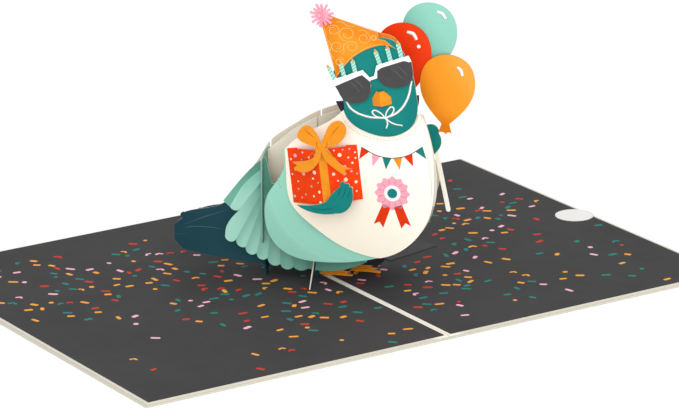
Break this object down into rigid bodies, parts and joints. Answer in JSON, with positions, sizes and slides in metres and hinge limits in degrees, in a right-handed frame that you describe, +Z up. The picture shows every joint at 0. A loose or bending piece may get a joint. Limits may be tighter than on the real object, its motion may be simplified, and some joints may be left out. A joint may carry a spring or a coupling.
{
  "type": "pop up card",
  "caption": "Open greeting card with a dark confetti page and a standing lattice of die-cut panels in the shape of a party bird with gift and balloons.",
  "frame": {"origin": "underside of the cover, on the fold line, midway between the card's near and far edges", "axes": "+X across the fold, to the right as the card is read; +Y along the fold, away from the reader; +Z up"},
  "size_m": [0.254, 0.1778, 0.1114],
  "materials": {
    "cream_cover": "uncoated cream card, matt",
    "cream_sheet": "smooth cream paper, matt",
    "dark_liner": "charcoal printed paper with confetti, matt",
    "white_seal": "white paper seal, matt",
    "bare_card": "unprinted beige-grey card",
    "mint_card": "mint printed card",
    "cream_card": "cream printed card",
    "teal_card": "teal printed card",
    "night_card": "dark teal printed card",
    "orange_card": "orange printed card",
    "red_card": "red printed card",
    "pink_card": "pink printed card",
    "white_card": "white printed card"
  },
  "bodies": {
    "root": {"cover": "cream_cover", "mount_sheet": "cream_sheet", "liner_left": "dark_liner", "liner_right": "dark_liner", "closing_disc": "white_seal", "anchor_pad": "dark_liner", "body_panel": "mint_card", "shirt_panel": "cream_card", "shirt_side": "cream_card", "head_panel": "teal_card", "neck_piece": "night_card", "candle_glasses": "white_card", "hat_front": "orange_card", "hat_back": "orange_card", "pompom_front": "pink_card", "pompom_cross": "pink_card", "beak": "orange_card", "gift_box": "red_card", "gift_ribbon": "orange_card", "gift_bow": "orange_card", "gift_hand": "teal_card", "balloon_orange": "orange_card", "balloon_red": "red_card", "balloon_mint": "mint_card", "balloon_hand": "teal_card", "balloon_string": "cream_card", "wing_panel": "mint_card", "rear_wing_panel": "mint_card", "front_profile": "night_card", "rear_profile": "night_card", "back_panel": "mint_card", "near_foot": "orange_card", "far_foot": "orange_card", "left_slice": "bare_card", "middle_slice": "bare_card", "right_slice": "bare_card", "front_leg": "dark_liner"}
  },
  "joints": []
}
